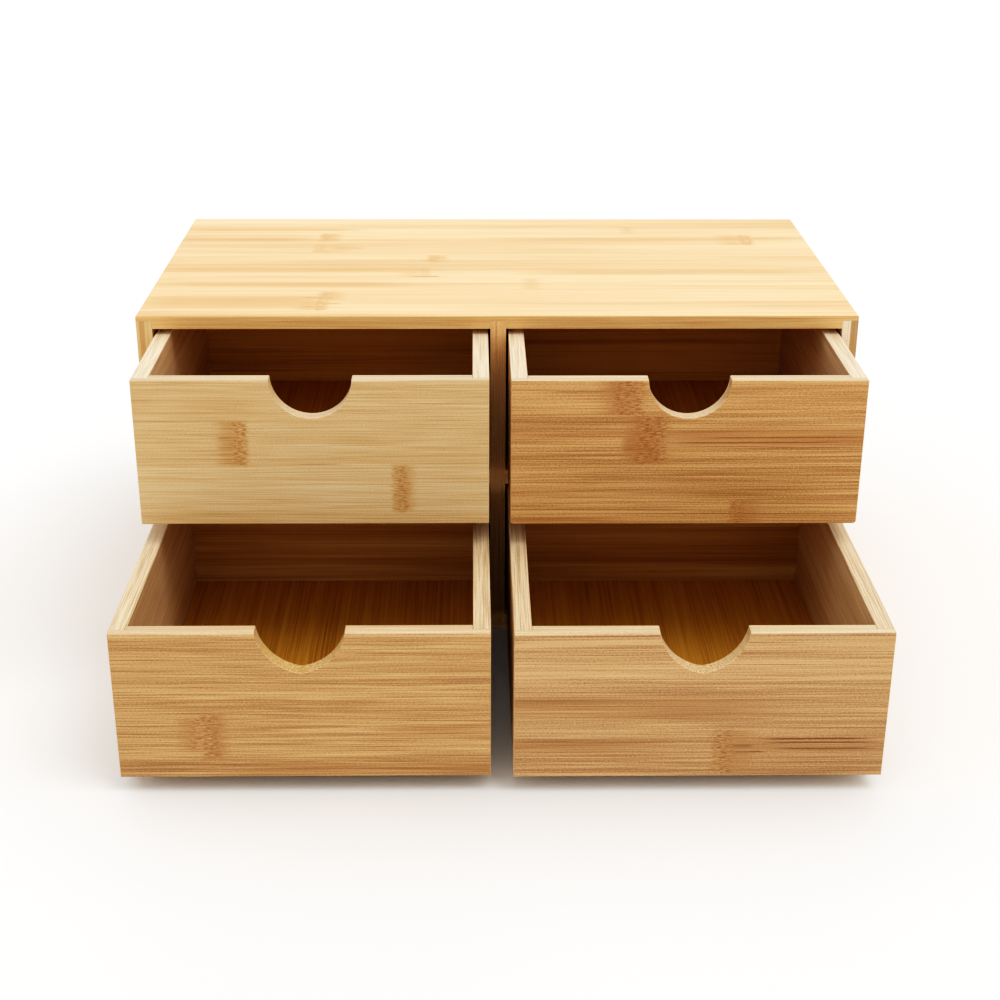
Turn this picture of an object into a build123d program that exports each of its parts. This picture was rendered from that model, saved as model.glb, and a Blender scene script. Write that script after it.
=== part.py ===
"""Desktop mini drawers: a bamboo cabinet with four drawers in two rows of two.

Millimetres. +X is to the right seen from the front, +Y to the back and +Z up. The origin is the
middle of the cabinet's underside. The drawers stand open, as they do at rest.
"""
from build123d import *
from math import cos, radians, sin
import os

# ---- cabinet ----
WIDTH = 330.0            # outside, left to right
DEPTH = 180.0            # front to back, drawers closed
BAY_HEIGHT = 69.7        # clear height of each drawer bay
TOP_BOARD = 6.2          # thickness of the top
BOARD = 7.2              # thickness of the cabinet's other boards
LIP = 2.5                # what is left of a top or bottom board over an upright's end
SHELF_HOUSING = 2.6      # how far a shelf's ends are let into the uprights
SHELF_STOP = 8.0         # length at the front where a shelf's end isn't let in
BACK_PANEL = 4.0         # thickness of the back panel
BACK_INSET = 3.0         # how far the back panel stands in from the cabinet's rear
BACK_HOUSING = 3.6       # how far the back panel is let into the boards round it
OUTER_ROUND = 0.8        # rounding of the top and bottom boards' outer edges
GLUE_LINE = 0.05         # gap on each face of a glued joint

# ---- drawers ----
FRONT_BOARD = 6.4        # thickness of a drawer's front
DRAWER_BOARD = 7.2       # thickness of a drawer's sides and back
SIDE_CLEARANCE = 1.0     # between a drawer and the upright beside it
TOP_CLEARANCE = 2.7      # between a drawer and the board above it
LIFT = 0.3               # between a drawer and the board it slides on
STOP_CLEARANCE = 0.8     # behind a closed drawer
CORNER_LIP = 3.0         # what is left of a board over the end that is let into it
FLOOR_LIP = 4.5          # height of a drawer's floor panel above its lower edge
FLOOR_PANEL = 3.5        # thickness of the floor panel
FLOOR_HOUSING = 3.0      # how far the floor panel is let into the boards round it
PANEL_GAP = 0.1          # gap on each face of a panel that lies in a groove
EDGE_ROUND = 0.5         # rounding of a drawer's outer edges
NOTCH_OVERRUN = 1.0      # how far a notch's cutter runs out past a front's top edge and faces

# ---- finger notches: width, depth and the slope on each side of the lowest point, in degrees ----
UPPER_NOTCH = {"width": 35.2, "depth": 17.2, "slope": 0.0}
LOWER_NOTCH = {"width": 36.0, "depth": 18.2, "slope": 9.0}

# ---- rounding that differs from front to front ----
UPPER_TOP_ROUND = 0.8    # top edge of the upper fronts
LOWER_TOP_ROUND = 1.8    # top edge of the lower fronts
CORNER_ROUND = 1.5       # lower corners of the upper right front

# ---- how far each drawer stands open at rest ----
OPEN_UPPER_LEFT = 62.5
OPEN_UPPER_RIGHT = 63.3
OPEN_LOWER_LEFT = 144.7
OPEN_LOWER_RIGHT = 145.8

# ---- worked out from the sizes above ----
HEIGHT = TOP_BOARD + 2 * BOARD + 2 * BAY_HEIGHT
RIGHT = WIDTH / 2
FRONT = -DEPTH / 2
REAR = DEPTH / 2
BAY_WIDTH = (WIDTH - 3 * BOARD) / 2
BAY_CENTRE = (BOARD + BAY_WIDTH) / 2
SHELF_UNDERSIDE = BOARD + BAY_HEIGHT
BACK_FACE = REAR - BACK_INSET - BACK_PANEL

DRAWER_WIDTH = BAY_WIDTH - 2 * SIDE_CLEARANCE
DRAWER_HEIGHT = BAY_HEIGHT - TOP_CLEARANCE - LIFT
DRAWER_LENGTH = BACK_FACE - FRONT - STOP_CLEARANCE
INNER_HALF = DRAWER_WIDTH / 2 - DRAWER_BOARD


class Block:
    """A square-edged block between two corners."""

    def __init__(self, x, y, z):
        self.x, self.y, self.z = x, y, z

    def grown(self, gap):
        """The block made larger by a gap on every face."""
        return Block(*[(low - gap, high + gap) for low, high in (self.x, self.y, self.z)])

    def solid(self):
        ranges = (self.x, self.y, self.z)
        size = [high - low for low, high in ranges]
        middle = [(high + low) / 2 for low, high in ranges]
        return Pos(*middle) * Box(*size)


def cut(board, pieces, gap):
    """Cut the seats of the given blocks out of a board, with a gap on each face."""
    for piece in pieces:
        board -= piece.grown(gap).solid()
    return board


# ---------------------------------------------------------------- cabinet

def uprights():
    """The three upright boards, whose ends are let into the top and bottom boards."""
    height = (LIP, HEIGHT - LIP)
    return {
        "left_side": Block((-RIGHT, -RIGHT + BOARD), (FRONT, REAR), height),
        "centre_divider": Block((-BOARD / 2, BOARD / 2), (FRONT, BACK_FACE), height),
        "right_side": Block((RIGHT - BOARD, RIGHT), (FRONT, REAR), height),
    }


def shelf_blocks(side):
    """A shelf's full-length middle, and the wider part behind it that is let in at both ends."""
    height = (SHELF_UNDERSIDE, SHELF_UNDERSIDE + BOARD)
    middle = side * BAY_CENTRE
    reach = BAY_WIDTH / 2 - GLUE_LINE
    housed = BAY_WIDTH / 2 + SHELF_HOUSING
    rear = BACK_FACE - GLUE_LINE
    shown = Block((middle - reach, middle + reach), (FRONT, rear), height)
    let_in = Block((middle - housed, middle + housed), (FRONT + SHELF_STOP, rear), height)
    return shown, let_in


def back_block():
    """The back panel, let into the top, the bottom and both sides."""
    reach = RIGHT - BOARD + BACK_HOUSING
    height = (BOARD - BACK_HOUSING, HEIGHT - TOP_BOARD + BACK_HOUSING)
    return Block((-reach, reach), (BACK_FACE, BACK_FACE + BACK_PANEL), height)


def outer_board(low, high, outer_face):
    """A top or bottom board with rounded outer edges, and its seats for uprights and back panel."""
    board = Block((-RIGHT, RIGHT), (FRONT, REAR), (low, high)).solid()
    board = fillet(board.faces().sort_by(Axis.Z)[outer_face].edges(), OUTER_ROUND)
    return cut(board, [*uprights().values(), back_block()], GLUE_LINE)


def cabinet():
    """The cabinet's boards by name."""
    left_shown, left_let_in = shelf_blocks(-1)
    right_shown, right_let_in = shelf_blocks(1)
    nodes = {
        "top_panel": outer_board(HEIGHT - TOP_BOARD, HEIGHT, -1),
        "bottom_panel": outer_board(0.0, BOARD, 0),
        "left_shelf": left_shown.solid() + left_let_in.solid(),
        "right_shelf": right_shown.solid() + right_let_in.solid(),
        "back_panel": back_block().solid(),
    }
    for name, upright in uprights().items():
        nodes[name] = cut(upright.solid(), [left_let_in, right_let_in, back_block()], GLUE_LINE)
    return nodes


# ---------------------------------------------------------------- drawers
# A drawer's own frame: x from its middle, y from its front face, z from its lower edge.

def drawer_blocks():
    """The square-edged boards and floor panel of a drawer."""
    half = DRAWER_WIDTH / 2
    housed = INNER_HALF + FLOOR_HOUSING
    height = (0.0, DRAWER_HEIGHT)
    along = (CORNER_LIP, DRAWER_LENGTH)
    back = (DRAWER_LENGTH - DRAWER_BOARD, DRAWER_LENGTH)
    floor_along = (FRONT_BOARD - FLOOR_HOUSING, back[0] + FLOOR_HOUSING)
    return {
        "front": Block((-half, half), (0.0, FRONT_BOARD), height),
        "left_side": Block((-half, -INNER_HALF), along, height),
        "right_side": Block((INNER_HALF, half), along, height),
        "back": Block((-half + CORNER_LIP, half - CORNER_LIP), back, height),
        "bottom": Block((-housed, housed), floor_along, (FLOOR_LIP, FLOOR_LIP + FLOOR_PANEL)),
    }


def notch_cutter(notch):
    """The finger notch: two arcs of one radius, alike on both sides, that meet at its lowest point."""
    half = notch["width"] / 2
    depth = notch["depth"]
    slope = radians(notch["slope"])
    radius = (half**2 + depth**2) / (2 * (depth * cos(slope) - half * sin(slope)))
    centre = Vector(radius * sin(slope), radius * cos(slope) - depth)
    start = Vector(-half, 0)
    lowest = Vector(0, -depth)
    middle = centre + ((start + lowest) / 2 - centre).normalized() * radius
    left = ThreePointArc(start, middle, lowest)
    right = ThreePointArc(lowest, Vector(-middle.X, middle.Y), Vector(half, 0))
    above = Polyline((half, 0), (half, NOTCH_OVERRUN), (-half, NOTCH_OVERRUN), (-half, 0))
    outline = make_face(left + right + above)
    cutter = extrude(Plane.XZ * outline, amount=FRONT_BOARD + NOTCH_OVERRUN, both=True)
    return Pos(0, 0, DRAWER_HEIGHT) * cutter


def face_edges(board):
    """The edges round a front's face: those along its top, and the others."""
    edges = board.faces().sort_by(Axis.Y)[0].edges()
    top = edges.group_by(Axis.Z)[-1]
    return top, [edge for edge in edges if edge not in top]


def drawer_front(notch, top_round, corner_round):
    blocks = drawer_blocks()
    board = blocks["front"].solid()
    if corner_round:
        board = fillet(board.edges().filter_by(Axis.Y).group_by(Axis.Z)[0], corner_round)
    board -= notch_cutter(notch)
    board = fillet(face_edges(board)[0], top_round)
    board = fillet(face_edges(board)[1], EDGE_ROUND)
    board = cut(board, [blocks["left_side"], blocks["right_side"]], GLUE_LINE)
    return cut(board, [blocks["bottom"]], PANEL_GAP)


def drawer_side(name):
    blocks = drawer_blocks()
    board = blocks[name].solid()
    board = fillet(board.edges().filter_by(Axis.Y), EDGE_ROUND)
    board = cut(board, [blocks["back"]], GLUE_LINE)
    return cut(board, [blocks["bottom"]], PANEL_GAP)


def drawer(notch, top_round, corner_round):
    """A drawer's five pieces by name."""
    blocks = drawer_blocks()
    return {
        "front": drawer_front(notch, top_round, corner_round),
        "left_side": drawer_side("left_side"),
        "right_side": drawer_side("right_side"),
        "back": cut(blocks["back"].solid(), [blocks["bottom"]], PANEL_GAP),
        "bottom": blocks["bottom"].solid(),
    }


def drawers():
    """Every drawer's pieces, named after their drawer and placed as far open as they rest."""
    upper_floor = SHELF_UNDERSIDE + BOARD + LIFT
    lower_floor = BOARD + LIFT
    upper_left = drawer(UPPER_NOTCH, UPPER_TOP_ROUND, 0.0)
    upper_right = drawer(UPPER_NOTCH, UPPER_TOP_ROUND, CORNER_ROUND)
    lower = drawer(LOWER_NOTCH, LOWER_TOP_ROUND, 0.0)
    placed = {
        "upper_left_drawer": (upper_left, -1, OPEN_UPPER_LEFT, upper_floor),
        "upper_right_drawer": (upper_right, 1, OPEN_UPPER_RIGHT, upper_floor),
        "lower_left_drawer": (lower, -1, OPEN_LOWER_LEFT, lower_floor),
        "lower_right_drawer": (lower, 1, OPEN_LOWER_RIGHT, lower_floor),
    }
    nodes = {}
    for name, (pieces, side, opening, floor) in placed.items():
        place = Pos(side * BAY_CENTRE, FRONT - opening, floor)
        for piece, shape in pieces.items():
            nodes[f"{name}_{piece}"] = place * shape
    return nodes


os.makedirs("parts", exist_ok=True)
for node, shape in {**cabinet(), **drawers()}.items():
    export_step(shape, f"parts/{node}.step")
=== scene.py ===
"""The looks of a desktop organiser made of bamboo boards: a cabinet and four drawers.

Lengths are in metres, as in the frame. What belongs to the grain is in millimetres,
measured from a board's own edges. Angles are in radians.
"""

import math
import random
from collections import namedtuple

import bpy
from mathutils import Matrix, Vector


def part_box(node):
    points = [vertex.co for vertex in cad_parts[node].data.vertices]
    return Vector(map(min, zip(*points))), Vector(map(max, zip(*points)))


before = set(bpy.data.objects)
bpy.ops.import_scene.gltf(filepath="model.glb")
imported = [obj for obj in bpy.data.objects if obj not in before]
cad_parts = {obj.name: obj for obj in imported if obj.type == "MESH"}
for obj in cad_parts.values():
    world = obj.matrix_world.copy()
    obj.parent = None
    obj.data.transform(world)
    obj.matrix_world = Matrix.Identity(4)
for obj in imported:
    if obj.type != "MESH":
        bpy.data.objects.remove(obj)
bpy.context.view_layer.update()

MM = 0.001
AXES = "XYZ"

# The camera, as the photograph was taken. The lens and the sensor are in millimetres
CAMERA_PLACE = (-0.0113, -0.8215, 0.3872)
CAMERA_LENS = 60.17
CAMERA_SENSOR = 36.0
CAMERA_PITCH = 0.4109
CAMERA_YAW = 0.0170
CAMERA_ROLL = 0.0045

# The studio: a white room, and a wide soft light high on the right
ROOM_COLOUR = (1.0, 1.0, 1.0, 1.0)
ROOM_STRENGTH = 0.94
KEY_STRENGTH = 0.6
KEY_SPREAD = math.radians(30)
KEY_HEIGHT = math.radians(60)
KEY_SIDE = math.radians(60)

# The floor, with wide and faint clouds in its tone
FLOOR_RADIUS = 8.0
FLOOR_SIDES = 96
FLOOR_TONES = ((245, 245, 244), (250, 250, 250))
FLOOR_CLOUD = (0.35, 0.35, 0.35)
FLOOR_ROUGHNESS = 0.9
FLOOR_SHINE = 0.1

# The film: mid tones stay, shadows deepen and highlights ease off
FILM_STEEPNESS = 1.6
FILM_MIDDLE = 0.79
FILM_STEPS = (0.01, 0.025, 0.05, 0.1, 0.2, 0.35, 0.5, 0.7)

# The sockets of a mix node that take and give colours, and the curve that all channels share
MIX_SHARE = 0
MIX_FIRST = 6
MIX_SECOND = 7
MIX_RESULT = 2
SHARED_CURVE = 3

# Every noise: how many finer layers lie over the coarse one, and how strong they are
NOISE_LAYERS = 2.0
NOISE_FINENESS = 0.55

# The strips that a board is glued up from: how wide they are and by how much that varies,
# how much of the first one is left at least, and their tones
STRIP = 21.3
STRIP_SPREAD = (0.93, 1.07)
FIRST_STRIP_LEFT = 0.3
STRIP_TONES = (0.38, 0.62)
WIDEST_BOARD = 180

# What sets a strip apart from the next one: the factor that makes a seed of its tone, and how
# far its grain is shifted at most
STRIP_SEED = 977.0
SHIFT_ALONG = 700.0
SHIFT_DEEP = 90.0

# The seed of the first drawer's grain, and how many boards, each with its own, a drawer has
FIRST_DRAWER_SEED = 10
DRAWER_BOARDS = 5

# How far the fibres of a strip wander, and over what lengths
LONG_BEND = 0.7
LONG_BEND_CELL = (240, 50, 50)
SHORT_BEND = 0.1
SHORT_BEND_CELL = (45, 10, 10)

# The parts of the grain: their size along it, down the board and into it. The fibres and the
# hairs take the first one, and the clouds the second, from the board's own grain
FIBRE_SIZE = (0.42, 0.7)
HAIR_SIZE = (0.24, 0.4)
HAIR_REACH = 0.5         # as a share of a fibre's
CLOUD_ALONG = 240
CLOUD_DEEP = 6
STRIPE_CELL = (160, 0.95, 1.5)
LINE_CELL = (60, 0.5, 0.7)
LINE_RANGE = (-0.02, 0.32)
PORE_CELL = (0.9, 0.45, 0.6)
CRINKLE_CELL = (2.3, 0.5, 0.9)
CRINKLE_TWIST = 0.5
RAGGED_CELL = (3.5, 1.6, 2.0)

# How squarely a surface faces along the grain to be an end, or across the strips to be an edge
END_FACING = (0.55, 0.85)
EDGE_FACING = (0.35, 0.9)

# A node mark: how ragged its outline is, and where it fades, as shares of its height and length
MARK_RAGGED_ALONG = 2.2
MARK_RAGGED_DOWN = 0.8
MARK_FADE_DOWN = (1.08, 0.84)
MARK_FADE_ALONG = (1.35, 0.4)

# What a node mark does to the grain: it hides fibres, crinkles the rest, and stains it, with
# dark dashes and light glints where it crinkles most
FIBRES_HIDDEN = 0.6
CRINKLES = 1.4
HALO_STAIN = 0.6
HALO_LINES = 0.5
CORE_STAIN = 0.75
DASHES = 0.85
DASH_RANGE = (0.0, 0.3)
GLINTS = 0.5
GLINT_RANGE = (0.08, 0.4)

# A streak: where it is full, as shares of its length and height, and how much it stains
STREAK_FULL_ALONG = 0.45
STREAK_FULL_DOWN = 0.3
STREAK_STAIN = 0.7
STREAK_LINES = 0.6

# How far single dark fibres follow the rough grain and its bends
THREAD_RAGGED = 0.25
THREAD_BEND = 0.5

# The ends of the boards: how many tubes show in a millimetre, and how the tone is mixed
TUBES = 1.4
TUBE_RANGE = (0.12, 0.42)
TUBE_TONE = 0.7
END_CLOUD = 0.5
END_CLOUD_CELL = (5, 5, 5)

# The narrow side edges of the boards: how the tone is mixed
EDGE_FIBRE = 0.7
EDGE_HAIR = 1.3
EDGE_PORE = 0.5
EDGE_TONE = 0.62

# A sawn notch: how squarely its surface faces away from the board's face, between which depths
# below the top edge its colour sets in, how much it covers, and how the tone is mixed
CUT_FACING = (0.3, 0.9)
CUT_DEPTHS = (2.5, 7.0)
CUT_COVER = 0.9
CUT_PORE = 1.1
CUT_HAIR = 0.9
CUT_TONE = 0.5

# How soft the border is between two layers at the end of an upright
PLY_BLUR = 0.3

# The satin surface: its roughness and by how much the grain varies it, and its relief in metres
ROUGHNESS = 0.46
ROUGHNESS_GRAIN = 0.08
RELIEF = 0.00015
RELIEF_STRENGTH = 0.22
RELIEF_FIBRE = 0.6
RELIEF_HAIR = 0.4

# Colours: a face from dark to light, the stain of a node mark or a streak and the lines in it
# (on the cabinet's sides, the darker layers), an edge from dark to light, and a sawn notch
Palette = namedtuple("Palette", "dark body light mark line edge_dark edge edge_light cut")

# How long the fibres are and how high the clouds, and how strong each part of the grain is
Grain = namedtuple("Grain", "reach band cloud stripe fibre hair pore")

# Where a strip starts, measured from the board's top, back or right edge, and its tone
Strip = namedtuple("Strip", "start tone")

# A node mark or a streak: where its middle is, half its length and half its height, and its
# strength. A mark's halo is the length of the stain beside it, to the left where it is negative
Mark = namedtuple("Mark", "along down reach height depth halo")
Streak = namedtuple("Streak", "along down reach height depth")

# A board: the axes along its grain and across its strips, its palette, the weights of its grain,
# its strips, the seed of its grain, and the marks, streaks, threads and plies that it shows
Board = namedtuple("Board", "grain across palette weights strips seed marks streaks threads plies")


def srgb(red, green, blue):
    """A display colour of 0 to 255 as the linear colour that a shader takes."""
    linear = []
    for level in (red, green, blue):
        share = level / 255
        low = share / 12.92
        high = ((share + 0.055) / 1.055) ** 2.4
        linear.append(low if share <= 0.04045 else high)
    return (*linear, 1.0)


class Field:
    """A value that shader nodes work out at every point of a surface."""

    def __init__(self, tree, socket):
        self.tree = tree
        self.socket = socket

    def math(self, operation, *others):
        """The outcome of a maths node on this field and on other fields or numbers."""
        inputs = dict(enumerate((self, *others)))
        return wire(self.tree, "ShaderNodeMath", inputs, operation=operation)

    def __add__(self, other):
        return self.math("ADD", other)

    def __sub__(self, other):
        return self.math("SUBTRACT", other)

    def __rsub__(self, other):
        return self.math("MULTIPLY_ADD", -1.0, other)

    def __mul__(self, other):
        return self.math("MULTIPLY", other)

    __radd__ = __add__
    __rmul__ = __mul__

    def __truediv__(self, other):
        return self.math("DIVIDE", other)

    def __abs__(self):
        return self.math("ABSOLUTE")

    def larger(self, other):
        """The larger of this field and another one."""
        return self.math("MAXIMUM", other)

    def ease(self, start, end):
        """0 up to start and 1 from end, or the other way round where end is the lower."""
        inputs = {"Value": self, "From Min": start, "From Max": end}
        return wire(self.tree, "ShaderNodeMapRange", inputs, interpolation_type="SMOOTHSTEP")


def wire(tree, kind, inputs, output=0, **settings):
    """Adds a shader node, plugs numbers or fields into it, and returns one of its outputs."""
    node = tree.nodes.new(kind)
    for name, value in settings.items():
        setattr(node, name, value)
    for slot, value in inputs.items():
        if isinstance(value, Field):
            tree.links.new(value.socket, node.inputs[slot])
        else:
            node.inputs[slot].default_value = value
    return Field(tree, node.outputs[output])


def split(vector):
    """The three parts of a vector field."""
    kind = "ShaderNodeSeparateXYZ"
    first = wire(vector.tree, kind, {0: vector})
    return [Field(vector.tree, socket) for socket in first.socket.node.outputs]


def join(first, second, third):
    """A vector field made of three fields."""
    return wire(first.tree, "ShaderNodeCombineXYZ", {0: first, 1: second, 2: third})


def noise(point, cell, twist=0.0):
    """Noise about 0, mostly from -0.5 to 0.5, whose blobs have the size of cell."""
    shrink = [1 / size for size in cell]
    tree = point.tree
    scaled = wire(tree, "ShaderNodeVectorMath", {0: point, 1: shrink}, operation="MULTIPLY")
    inputs = {
        "Vector": scaled,
        "Scale": 1.0,
        "Detail": NOISE_LAYERS,
        "Roughness": NOISE_FINENESS,
        "Distortion": twist,
    }
    return (wire(tree, "ShaderNodeTexNoise", inputs) - 0.5) * 2.0


def blend(share, first, second):
    """A colour that goes from first to second as share goes from 0 to 1."""
    inputs = {MIX_SHARE: share, MIX_FIRST: first, MIX_SECOND: second}
    return wire(share.tree, "ShaderNodeMix", inputs, output=MIX_RESULT, data_type="RGBA")


def ramp(value, colours):
    """A colour that runs through evenly spaced colours as value goes from 0 to 1."""
    made = wire(value.tree, "ShaderNodeValToRGB", {0: value})
    elements = made.socket.node.color_ramp.elements
    while len(elements) < len(colours):
        elements.new(0.5)
    for index, colour in enumerate(colours):
        elements[index].position = index / (len(colours) - 1)
        elements[index].color = colour
    return made


def strip_tone(down, strips):
    """The tone of the strip that a point lies in, where 0.5 is the middle one."""
    reach = strips[-1].start + STRIP
    made = wire(down.tree, "ShaderNodeValToRGB", {0: down / reach})
    colour_ramp = made.socket.node.color_ramp
    colour_ramp.interpolation = "CONSTANT"
    while len(colour_ramp.elements) < len(strips):
        colour_ramp.elements.new(1.0)
    while len(colour_ramp.elements) > len(strips):
        colour_ramp.elements.remove(colour_ramp.elements[-1])
    for element, strip in zip(colour_ramp.elements, strips):
        element.position = strip.start / reach
        element.color = (strip.tone, strip.tone, strip.tone, 1.0)
    return made


def start_material(name):
    """A new material with a plain shader: the material, its node tree and its shader node."""
    material = bpy.data.materials.new(name)
    material.use_nodes = True
    shader = material.node_tree.nodes["Principled BSDF"]
    return material, material.node_tree, shader


def link(field, socket):
    """Plugs a field into a shader's socket."""
    field.tree.links.new(field.socket, socket)


def board_place(tree, node_name, board):
    """Where a point is on its board: along the grain, down across the strips, and deep."""
    low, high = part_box(node_name)
    across = AXES.index(board.across)
    grain = AXES.index(board.grain)
    third = 3 - across - grain
    place = split(wire(tree, "ShaderNodeTexCoord", {}, output="Object"))
    along = (place[grain] - low[grain]) / MM
    down = (high[across] - place[across]) / MM
    deep = (place[third] - low[third]) / MM
    return along, down, deep


def facing(tree, board):
    """How far a surface faces along the grain, and across the strips: 0 or 1 on a flat."""
    normal = split(wire(tree, "ShaderNodeTexCoord", {}, output="Normal"))
    end = abs(normal[AXES.index(board.grain)])
    edge = abs(normal[AXES.index(board.across)])
    return end.ease(*END_FACING), edge.ease(*EDGE_FACING)


def strip_shifts(tone, seed):
    """How far the grain of a point's strip is shifted, along it and into the board."""
    inputs = {"W": tone * STRIP_SEED + seed}
    kind = "ShaderNodeTexWhiteNoise"
    chance = split(wire(tone.tree, kind, inputs, output="Color", noise_dimensions="1D"))
    return chance[1] * SHIFT_ALONG, chance[2] * SHIFT_DEEP


class Wood:
    """The fields that a board's colour and relief are mixed from."""

    def __init__(self, tree, node_name, board):
        self.along, self.down, self.deep = board_place(tree, node_name, board)
        self.end, self.edge = facing(tree, board)
        self.strip_tone = strip_tone(self.down, board.strips)
        self.place = join(self.along, self.down, self.deep)
        self.follow_strips(board.seed)
        self.grow(board.weights.reach)

    def follow_strips(self, seed):
        """Shifts the grain from strip to strip, and bends it."""
        shift_along, shift_deep = strip_shifts(self.strip_tone, seed)
        along = self.along + shift_along
        deep = self.deep + shift_deep
        straight = join(along, self.down, deep)
        long_bend = noise(straight, LONG_BEND_CELL) * LONG_BEND
        short_bend = noise(straight, SHORT_BEND_CELL) * SHORT_BEND
        self.bend = long_bend + short_bend
        self.flow = join(along, self.down + self.bend, deep)

    def grow(self, reach):
        """Makes the parts of the grain."""
        self.fibre = noise(self.flow, (reach, *FIBRE_SIZE))
        self.hair = noise(self.flow, (reach * HAIR_REACH, *HAIR_SIZE))
        self.lines = (noise(self.flow, LINE_CELL) * -1.0).ease(*LINE_RANGE)
        self.pore = noise(self.place, PORE_CELL)
        self.crinkle = noise(self.place, CRINKLE_CELL, CRINKLE_TWIST)
        self.ragged = noise(self.place, RAGGED_CELL)


def strongest(shares):
    """The largest of several shares at each point."""
    total = shares[0]
    for share in shares[1:]:
        total = total.larger(share)
    return total


def mark_share(wood, mark):
    """How strongly a point lies in a node mark, and in the stained wood beside it."""
    off_along = wood.along + wood.ragged * MARK_RAGGED_ALONG - mark.along
    off_down = abs(wood.down + wood.ragged * MARK_RAGGED_DOWN - mark.down)
    rows = off_down.ease(*[mark.height * share for share in MARK_FADE_DOWN])
    core = abs(off_along).ease(*[mark.reach * share for share in MARK_FADE_ALONG])
    halo_middle = mark.halo / 2
    halo_reach = abs(mark.halo) / 2 + mark.reach
    halo = abs(off_along - halo_middle).ease(halo_reach, 0.0)
    return core * rows * mark.depth, halo * rows * mark.depth


def mark_shares(wood, marks):
    """How strongly a point lies in any of the node marks, and in the stained wood beside them."""
    cores, halos = zip(*[mark_share(wood, mark) for mark in marks])
    return strongest(cores), strongest(halos)


def streak_share(along, down, streak):
    """How strongly a point lies in a long streak of darker fibres."""
    ends = abs(along - streak.along).ease(streak.reach, streak.reach * STREAK_FULL_ALONG)
    sides = abs(down - streak.down).ease(streak.height, streak.height * STREAK_FULL_DOWN)
    return ends * sides * streak.depth


def grain_colour(wood, board, threads):
    """The colour of the strips and their grain."""
    palette = board.palette
    weights = board.weights
    cloud_cell = (CLOUD_ALONG, weights.band, CLOUD_DEEP)
    tone = (
        wood.strip_tone
        + noise(wood.flow, cloud_cell) * weights.cloud
        + noise(wood.flow, STRIPE_CELL) * weights.stripe
        + threads
        + wood.hair * weights.hair
        + wood.pore * weights.pore
    )
    return ramp(tone, (palette.dark, palette.body, palette.light))


def lay_streaks(colour, wood, board):
    """Lays the board's streaks over a colour."""
    down = wood.down + wood.bend
    share = strongest([streak_share(wood.along, down, streak) for streak in board.streaks])
    colour = blend(share * STREAK_STAIN, colour, board.palette.mark)
    return blend(share * wood.lines * STREAK_LINES, colour, board.palette.line)


def lay_threads(colour, wood, board):
    """Lays the board's single dark fibres over a colour."""
    down = wood.down + (wood.ragged * THREAD_RAGGED + wood.bend * THREAD_BEND)
    share = strongest([streak_share(wood.along, down, thread) for thread in board.threads])
    return blend(share, colour, board.palette.line)


def lay_marks(colour, wood, palette, core, halo):
    """Lays the board's node marks over a colour."""
    dashes = (wood.crinkle * -1.0).ease(*DASH_RANGE)
    glints = wood.crinkle.ease(*GLINT_RANGE)
    colour = blend(halo * HALO_STAIN, colour, palette.mark)
    colour = blend(halo * wood.lines * HALO_LINES, colour, palette.line)
    colour = blend(core * CORE_STAIN, colour, palette.mark)
    colour = blend(core * dashes * DASHES, colour, palette.line)
    return blend(core * glints * GLINTS, colour, palette.light)


def face_colour(wood, board):
    """The colour of a board's face, with its streaks and node marks."""
    threads = wood.fibre * board.weights.fibre
    if board.marks:
        core, halo = mark_shares(wood, board.marks)
        threads = threads * (1 - core * FIBRES_HIDDEN) + core * wood.crinkle * CRINKLES
    colour = grain_colour(wood, board, threads)
    if board.streaks:
        colour = lay_streaks(colour, wood, board)
    if board.threads:
        colour = lay_threads(colour, wood, board)
    if board.marks:
        colour = lay_marks(colour, wood, board.palette, core, halo)
    return colour


def end_colour(wood, palette):
    """The colour of a board's end, with its cut tubes."""
    inputs = {"Vector": wood.place, "Scale": TUBES}
    tubes = wire(wood.place.tree, "ShaderNodeTexVoronoi", inputs).ease(*TUBE_RANGE)
    tone = tubes * TUBE_TONE + noise(wood.flow, END_CLOUD_CELL) * END_CLOUD
    return ramp(tone, (palette.dark, palette.body, palette.edge))


def lay_cut(colour, wood, palette):
    """Lays the colour of a sawn notch over its surface."""
    cut = (wood.edge + wood.end).ease(*CUT_FACING) * wood.down.ease(*CUT_DEPTHS)
    tone = wood.pore * CUT_PORE + wood.hair * CUT_HAIR + CUT_TONE
    cut_colour = ramp(tone, (palette.mark, palette.cut, palette.edge_light))
    return blend(cut * CUT_COVER, colour, cut_colour)


def lay_plies(colour, wood, board, edge_tone):
    """Lays the darker layers of an upright over its edges."""
    palette = board.palette
    ply = ramp(edge_tone, (palette.line, palette.mark, palette.mark))
    for start, stop in board.plies:
        inside = wood.deep.ease(start - PLY_BLUR, start) * wood.deep.ease(stop + PLY_BLUR, stop)
        colour = blend(wood.edge * inside, colour, ply)
    return colour


def board_colour(wood, board):
    """The colour of a board on all its sides."""
    palette = board.palette
    edge_grain = wood.fibre * EDGE_FIBRE + wood.hair * EDGE_HAIR + wood.pore * EDGE_PORE
    edge_tone = edge_grain + EDGE_TONE
    edge_colour = ramp(edge_tone, (palette.edge_dark, palette.edge, palette.edge_light))
    colour = blend(wood.end, face_colour(wood, board), end_colour(wood, palette))
    colour = blend(wood.edge, colour, edge_colour)
    if palette.cut:
        colour = lay_cut(colour, wood, palette)
    if board.plies:
        colour = lay_plies(colour, wood, board, edge_tone)
    return colour


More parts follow.
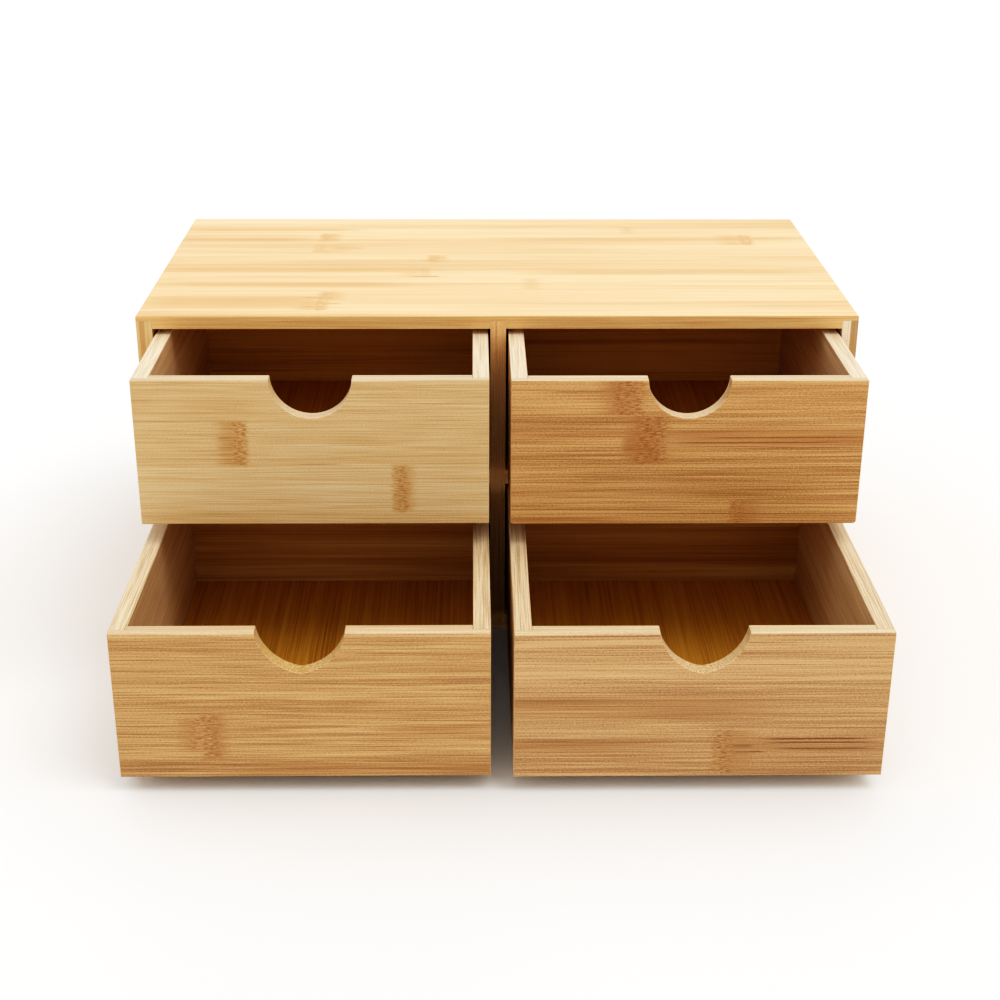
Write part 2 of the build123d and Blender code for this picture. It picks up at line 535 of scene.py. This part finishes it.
def bamboo(node_name, board):
    """The finish of one bamboo board, glued up from strips."""
    material, tree, shader = start_material("bamboo_" + node_name)
    wood = Wood(tree, node_name, board)
    link(board_colour(wood, board), shader.inputs["Base Color"])
    roughness = wood.hair * ROUGHNESS_GRAIN + wood.fibre * ROUGHNESS_GRAIN + ROUGHNESS
    link(roughness, shader.inputs["Roughness"])
    height = wood.fibre * RELIEF_FIBRE + wood.hair * RELIEF_HAIR
    inputs = {"Strength": RELIEF_STRENGTH, "Distance": RELIEF, "Height": height}
    link(wire(tree, "ShaderNodeBump", inputs), shader.inputs["Normal"])
    return material


GOLDEN = Palette(
    dark=srgb(182, 144, 90),
    body=srgb(208, 174, 124),
    light=srgb(221, 199, 159),
    mark=srgb(190, 141, 79),
    line=srgb(156, 105, 50),
    edge_dark=srgb(196, 170, 134),
    edge=srgb(210, 184, 149),
    edge_light=srgb(224, 202, 168),
    cut=None,
)
ORANGE = Palette(
    dark=srgb(158, 108, 52),
    body=srgb(193, 146, 90),
    light=srgb(216, 174, 118),
    mark=srgb(175, 118, 60),
    line=srgb(138, 82, 36),
    edge_dark=srgb(198, 170, 130),
    edge=srgb(214, 188, 152),
    edge_light=srgb(228, 207, 174),
    cut=None,
)
HONEY = Palette(
    dark=srgb(150, 104, 57),
    body=srgb(189, 147, 95),
    light=srgb(213, 177, 125),
    mark=srgb(176, 127, 76),
    line=srgb(144, 96, 52),
    edge_dark=srgb(196, 164, 122),
    edge=srgb(214, 186, 148),
    edge_light=srgb(228, 202, 168),
    cut=srgb(206, 172, 104),
)
TAN = Palette(
    dark=srgb(152, 108, 64),
    body=srgb(186, 145, 98),
    light=srgb(210, 173, 125),
    mark=srgb(176, 129, 76),
    line=srgb(128, 79, 39),
    edge_dark=srgb(196, 168, 126),
    edge=srgb(216, 193, 156),
    edge_light=srgb(234, 212, 176),
    cut=srgb(219, 191, 145),
)
PALE = Palette(
    dark=srgb(224, 178, 122),
    body=srgb(242, 205, 153),
    light=srgb(248, 222, 176),
    mark=srgb(228, 178, 114),
    line=srgb(200, 148, 86),
    edge_dark=srgb(204, 156, 98),
    edge=srgb(218, 174, 114),
    edge_light=srgb(228, 190, 132),
    cut=None,
)
UPPER_SIDE = Palette(
    dark=srgb(184, 140, 94),
    body=srgb(217, 181, 138),
    light=srgb(236, 212, 176),
    mark=srgb(184, 128, 76),
    line=srgb(160, 104, 60),
    edge_dark=srgb(206, 182, 148),
    edge=srgb(228, 209, 179),
    edge_light=srgb(244, 225, 197),
    cut=None,
)
SHADED_SIDE = UPPER_SIDE._replace(dark=srgb(176, 138, 98), body=srgb(205, 169, 130))
# The lower drawers' sides: a darker copy of the upper sides, mostly in the edges, with painted
# shade from the upper drawers above them
LOWER_SIDE_WITH_PAINTED_SHADE = UPPER_SIDE._replace(
    body=srgb(213, 181, 140),
    edge_dark=srgb(182, 150, 110),
    edge=srgb(216, 192, 156),
    edge_light=srgb(236, 215, 183),
)
LEFT_UPRIGHT = UPPER_SIDE._replace(
    mark=srgb(200, 158, 100),
    line=srgb(186, 142, 86),
    edge_dark=srgb(206, 168, 112),
    edge=srgb(214, 181, 126),
    edge_light=srgb(222, 190, 138),
)
RIGHT_UPRIGHT = UPPER_SIDE._replace(
    mark=srgb(189, 151, 104),
    line=srgb(172, 132, 84),
    edge_dark=srgb(216, 192, 158),
    edge=srgb(232, 213, 182),
    edge_light=srgb(238, 222, 194),
)
INNER = UPPER_SIDE._replace(
    dark=srgb(186, 134, 66),
    body=srgb(222, 176, 100),
    light=srgb(226, 186, 122),
    edge_dark=srgb(206, 156, 96),
    edge=srgb(230, 183, 125),
    edge_light=srgb(238, 198, 142),
)
# The lower drawers' backs: a darker copy of the inner boards, with painted shade from the upper
# drawers above them
LOWER_INNER_WITH_PAINTED_SHADE = INNER._replace(
    dark=srgb(160, 110, 56),
    body=srgb(192, 145, 84),
    light=srgb(213, 177, 125),
)
DRAWER_BOTTOM = Palette(
    dark=srgb(168, 110, 36),
    body=srgb(205, 150, 62),
    light=srgb(218, 170, 84),
    mark=srgb(140, 76, 24),
    line=srgb(120, 64, 20),
    edge_dark=srgb(170, 110, 45),
    edge=srgb(190, 130, 60),
    edge_light=srgb(205, 150, 80),
    cut=None,
)
REAR_PANEL = Palette(
    dark=srgb(190, 148, 100),
    body=srgb(214, 178, 130),
    light=srgb(228, 199, 156),
    mark=srgb(190, 143, 90),
    line=srgb(164, 118, 72),
    edge_dark=srgb(190, 150, 104),
    edge=srgb(208, 172, 126),
    edge_light=srgb(222, 190, 146),
    cut=None,
)

# The grains of the boards
CALM = Grain(reach=60, band=4, cloud=0.3, stripe=0.25, fibre=0.65, hair=0.75, pore=0.35)
LIVELY = Grain(reach=80, band=4, cloud=0.35, stripe=0.22, fibre=0.45, hair=1.25, pore=0.55)
LONG = Grain(reach=110, band=4, cloud=0.7, stripe=0.4, fibre=0.6, hair=1.4, pore=0.8)
SOFT = Grain(reach=90, band=9, cloud=0.75, stripe=0.35, fibre=0.45, hair=0.4, pore=0.15)
PANEL = Grain(reach=60, band=4, cloud=0.35, stripe=0.4, fibre=0.6, hair=0.5, pore=0.1)

# What shows in the top, measured from its left end and down from its back edge
TOP_MARKS = [
    Mark(75, 41, 3.0, 8.5, 0.8, 8),
    Mark(74, 62, 3.6, 8.5, 0.6, 20),
    Mark(133, 83, 3.0, 7.0, 0.7, 7),
    Mark(130, 108, 2.4, 9.0, 0.5, -14),
    Mark(84, 148, 3.6, 7.0, 0.75, 8),
    Mark(83, 164, 3.2, 7.5, 0.85, -12),
    Mark(298, 46, 3.5, 10.5, 0.9, -16),
    Mark(181, 128, 4.0, 9.5, 0.3, 4),
    Mark(236, 25, 3.0, 7.5, 0.3, 4),
]
TOP_STREAKS = [
    Streak(60, 103, 95, 6, 1.0),
    Streak(256, 108, 95, 7, 0.8),
    Streak(250, 44, 110, 6, 0.7),
    Streak(60, 128, 75, 5, 1.0),
    Streak(30, 45, 50, 6, 1.0),
    Streak(45, 24, 60, 4, 0.9),
    Streak(40, 158, 55, 13, 1.0),
]
TOP_THREADS = [
    Streak(130, 115.5, 9, 1.0, 1.0),
    Streak(136, 81, 5, 0.9, 0.7),
    Streak(131, 86, 5, 0.8, 0.6),
    Streak(77, 38, 4, 0.9, 0.6),
    Streak(79, 44, 5, 0.9, 0.6),
    Streak(90, 62, 10, 1.0, 0.6),
    Streak(76, 69, 6, 0.9, 0.6),
    Streak(84, 146, 6, 0.8, 0.6),
    Streak(81, 151, 9, 0.8, 0.7),
    Streak(86, 161, 7, 0.8, 0.7),
    Streak(79, 166, 7, 0.8, 0.8),
]

# What shows in the drawers' fronts, measured from their left end and down from their top edge
FRONT_MARKS = {
    "upper_left": [Mark(45, 28.6, 3.5, 10.6, 1.0, -9), Mark(113.5, 50, 3.6, 11.2, 0.8, 5)],
    "upper_right": [
        Mark(50, 7, 7.0, 9.0, 0.8, -10),
        Mark(60.5, 27, 6.8, 11.3, 0.9, -9),
        Mark(99, 61, 3.6, 6.0, 0.6, 10),
    ],
    "lower_left": [
        Mark(38.3, 47.6, 4.0, 10.8, 1.0, 5),
        Mark(32.5, 46.5, 3.2, 8.0, 0.65, -7),
    ],
    "lower_right": [Mark(86, 55, 4.6, 10.5, 0.8, 12)],
}
FRONT_STREAKS = {
    "upper_left": [Streak(20, 10, 45, 9, 0.3), Streak(3, 9.4, 9, 1.4, 0.6)],
    "upper_right": [
        Streak(55, 29, 9, 6, 1.0),
        Streak(118, 26, 70, 6, 0.7),
        Streak(16, 65, 40, 2.5, 0.5),
        Streak(40, 51, 90, 5, 0.2),
        Streak(20, 24, 40, 5, 0.25),
    ],
    "lower_left": [Streak(110, 63, 70, 3.5, 0.5), Streak(135, 45, 40, 5, 0.4)],
    "lower_right": [
        Streak(122, 52, 40, 5, 0.6),
        Streak(40, 34, 80, 8, 0.6),
        Streak(15, 52, 55, 5, 0.6),
    ],
}
FRONT_THREADS = {
    "upper_left": [
        Streak(40, 26.1, 5, 0.35, 0.8),
        Streak(40.3, 30.7, 5.5, 0.35, 0.8),
        Streak(79, 38.3, 11, 0.3, 0.4),
    ],
    "upper_right": [
        Streak(116, 26.1, 40, 0.45, 0.8),
        Streak(104, 28.4, 44, 0.5, 0.8),
        Streak(128, 30.6, 26, 0.4, 0.6),
        Streak(112, 20.6, 42, 0.35, 0.5),
        Streak(92, 30.2, 24, 0.35, 0.5),
        Streak(30, 5, 16, 0.35, 0.5),
    ],
    "lower_left": [
        Streak(76, 63, 90, 0.5, 0.4),
        Streak(134, 43.6, 22, 0.35, 0.5),
        Streak(138, 46.4, 18, 0.35, 0.5),
    ],
    "lower_right": [
        Streak(124, 49, 28, 0.65, 1.0),
        Streak(126, 50.7, 27, 0.6, 0.95),
        Streak(128, 53.6, 25, 0.55, 0.9),
        Streak(92, 52.2, 7, 0.8, 0.9),
        Streak(96, 55, 9, 0.6, 0.9),
        Streak(10, 47.2, 14, 0.35, 0.5),
        Streak(13, 50, 16, 0.35, 0.6),
    ],
}
FRONT_PALETTES = {
    "upper_left": GOLDEN,
    "upper_right": ORANGE,
    "lower_left": HONEY,
    "lower_right": TAN,
}
FRONT_GRAINS = {
    "upper_left": CALM,
    "upper_right": LONG,
    "lower_left": LIVELY,
    "lower_right": LONG,
}
FRONT_STRIPS = {
    "upper_left": [Strip(0, 0.52), Strip(18, 0.5), Strip(39.2, 0.63), Strip(61, 0.5)],
    "upper_right": [Strip(0, 0.58), Strip(15.5, 0.49), Strip(38.2, 0.48), Strip(58.8, 0.47)],
    "lower_left": [Strip(0, 0.52), Strip(17.6, 0.5), Strip(36.2, 0.49), Strip(58.8, 0.34)],
    "lower_right": [Strip(0, 0.67), Strip(24.4, 0.5), Strip(43.6, 0.47), Strip(64.6, 0.53)],
}
SIDE_PALETTES = {
    "upper_left": UPPER_SIDE,
    "upper_right": SHADED_SIDE,
    "lower_left": LOWER_SIDE_WITH_PAINTED_SHADE,
    "lower_right": LOWER_SIDE_WITH_PAINTED_SHADE,
}
BACK_PALETTES = {
    "upper_left": INNER,
    "upper_right": INNER,
    "lower_left": LOWER_INNER_WITH_PAINTED_SHADE,
    "lower_right": LOWER_INNER_WITH_PAINTED_SHADE,
}

# The darker layers that show in the edges of the cabinet's sides: from and to, measured from
# each side's left face
LEFT_PLIES = [(1.6, 3.6)]
RIGHT_PLIES = [(4.0, 7.2)]


def even_strips(seed):
    """Strips of much the same width side by side, each with a tone of its own."""
    chance = random.Random(seed)
    strips = []
    start = 0.0
    narrowest, widest = STRIP_SPREAD
    while start < WIDEST_BOARD:
        strips.append(Strip(start, chance.uniform(*STRIP_TONES)))
        least = FIRST_STRIP_LEFT if start == 0 else narrowest
        start += STRIP * chance.uniform(least, widest)
    return strips


def plain_board(grain, across, palette, weights, seed, marks=(), streaks=(), threads=(), plies=()):
    """A board of even strips."""
    strips = even_strips(seed)
    return Board(grain, across, palette, weights, strips, seed, marks, streaks, threads, plies)


def cabinet_boards():
    """Every board of the cabinet, by its node's name."""
    return {
        "top_panel": plain_board("X", "Y", PALE, SOFT, 1, TOP_MARKS, TOP_STREAKS, TOP_THREADS),
        "bottom_panel": plain_board("X", "Y", PALE, SOFT, 2),
        "left_side": plain_board("Z", "Y", LEFT_UPRIGHT, CALM, 3, plies=LEFT_PLIES),
        "right_side": plain_board("Z", "Y", RIGHT_UPRIGHT, CALM, 4, plies=RIGHT_PLIES),
        "centre_divider": plain_board("Z", "Y", INNER, CALM, 5),
        "left_shelf": plain_board("X", "Y", INNER, CALM, 6),
        "right_shelf": plain_board("X", "Y", INNER, CALM, 7),
        "back_panel": plain_board("X", "Z", REAR_PANEL, CALM, 8),
    }


def drawer_boards(drawer, seed):
    """Every board of one drawer, by its node's name."""
    front = Board(
        "X", "Z", FRONT_PALETTES[drawer], FRONT_GRAINS[drawer], FRONT_STRIPS[drawer], seed,
        FRONT_MARKS[drawer], FRONT_STREAKS[drawer], FRONT_THREADS[drawer], (),
    )
    boards = {
        "front": front,
        "left_side": plain_board("Y", "Z", SIDE_PALETTES[drawer], CALM, seed + 1),
        "right_side": plain_board("Y", "Z", SIDE_PALETTES[drawer], CALM, seed + 2),
        "back": plain_board("X", "Z", BACK_PALETTES[drawer], SOFT, seed + 3),
        "bottom": plain_board("Y", "X", DRAWER_BOTTOM, PANEL, seed + 4),
    }
    return {f"{drawer}_drawer_{part}": board for part, board in boards.items()}


def all_boards():
    """Every board of the organiser, by its node's name."""
    boards = cabinet_boards()
    for number, drawer in enumerate(FRONT_MARKS):
        boards.update(drawer_boards(drawer, FIRST_DRAWER_SEED + DRAWER_BOARDS * number))
    return boards


def dress_boards():
    """Gives every board its own bamboo."""
    for node_name, board in all_boards().items():
        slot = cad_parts[node_name].material_slots[0]
        slot.material = bamboo(node_name, board)


def make_floor():
    """A plain pale floor under the organiser."""
    bpy.ops.mesh.primitive_circle_add(vertices=FLOOR_SIDES, radius=FLOOR_RADIUS, fill_type="NGON")
    floor = bpy.context.object
    floor.name = "studio_floor"
    material, tree, shader = start_material("pale_floor")
    place = wire(tree, "ShaderNodeTexCoord", {}, output="Object")
    tone = noise(place, FLOOR_CLOUD) + 0.5
    link(ramp(tone, [srgb(*level) for level in FLOOR_TONES]), shader.inputs["Base Color"])
    shader.inputs["Roughness"].default_value = FLOOR_ROUGHNESS
    shader.inputs["Specular IOR Level"].default_value = FLOOR_SHINE
    floor.data.materials.append(material)


def film(light):
    """How bright the film shows a light from 0 to 1."""
    risen = light ** FILM_STEEPNESS
    middle = FILM_MIDDLE ** FILM_STEEPNESS
    return risen * (1 + middle) / (risen + middle)


def load_film():
    """Gives the picture the film's tones."""
    settings = bpy.context.scene.view_settings
    settings.view_transform = "Standard"
    settings.use_curve_mapping = True
    mapping = settings.curve_mapping
    mapping.extend = "EXTRAPOLATED"
    for light in FILM_STEPS:
        mapping.curves[SHARED_CURVE].points.new(light, film(light))
    mapping.update()


def light_studio():
    """Lights the organiser with the white room and the soft key light."""
    world = bpy.data.worlds.new("white_room")
    world.use_nodes = True
    background = world.node_tree.nodes["Background"]
    background.inputs["Color"].default_value = ROOM_COLOUR
    background.inputs["Strength"].default_value = ROOM_STRENGTH
    bpy.context.scene.world = world
    data = bpy.data.lights.new("key_light", "SUN")
    data.energy = KEY_STRENGTH
    data.angle = KEY_SPREAD
    light = bpy.data.objects.new("key_light", data)
    turn = Matrix.Rotation(KEY_SIDE, 4, "Z")
    tilt = Matrix.Rotation(math.pi / 2 - KEY_HEIGHT, 4, "X")
    light.matrix_world = turn @ tilt
    bpy.context.scene.collection.objects.link(light)


def place_camera():
    """Stands the camera where the photograph was taken from."""
    data = bpy.data.cameras.new("camera")
    data.lens = CAMERA_LENS
    data.sensor_width = CAMERA_SENSOR
    camera = bpy.data.objects.new("camera", data)
    turn = Matrix.Rotation(-CAMERA_YAW, 4, "Z")
    tilt = Matrix.Rotation(math.pi / 2 - CAMERA_PITCH, 4, "X")
    roll = Matrix.Rotation(CAMERA_ROLL, 4, "Z")
    camera.matrix_world = Matrix.Translation(CAMERA_PLACE) @ turn @ tilt @ roll
    bpy.context.scene.collection.objects.link(camera)
    bpy.context.scene.camera = camera


dress_boards()
make_floor()
light_studio()
load_film()
place_camera()
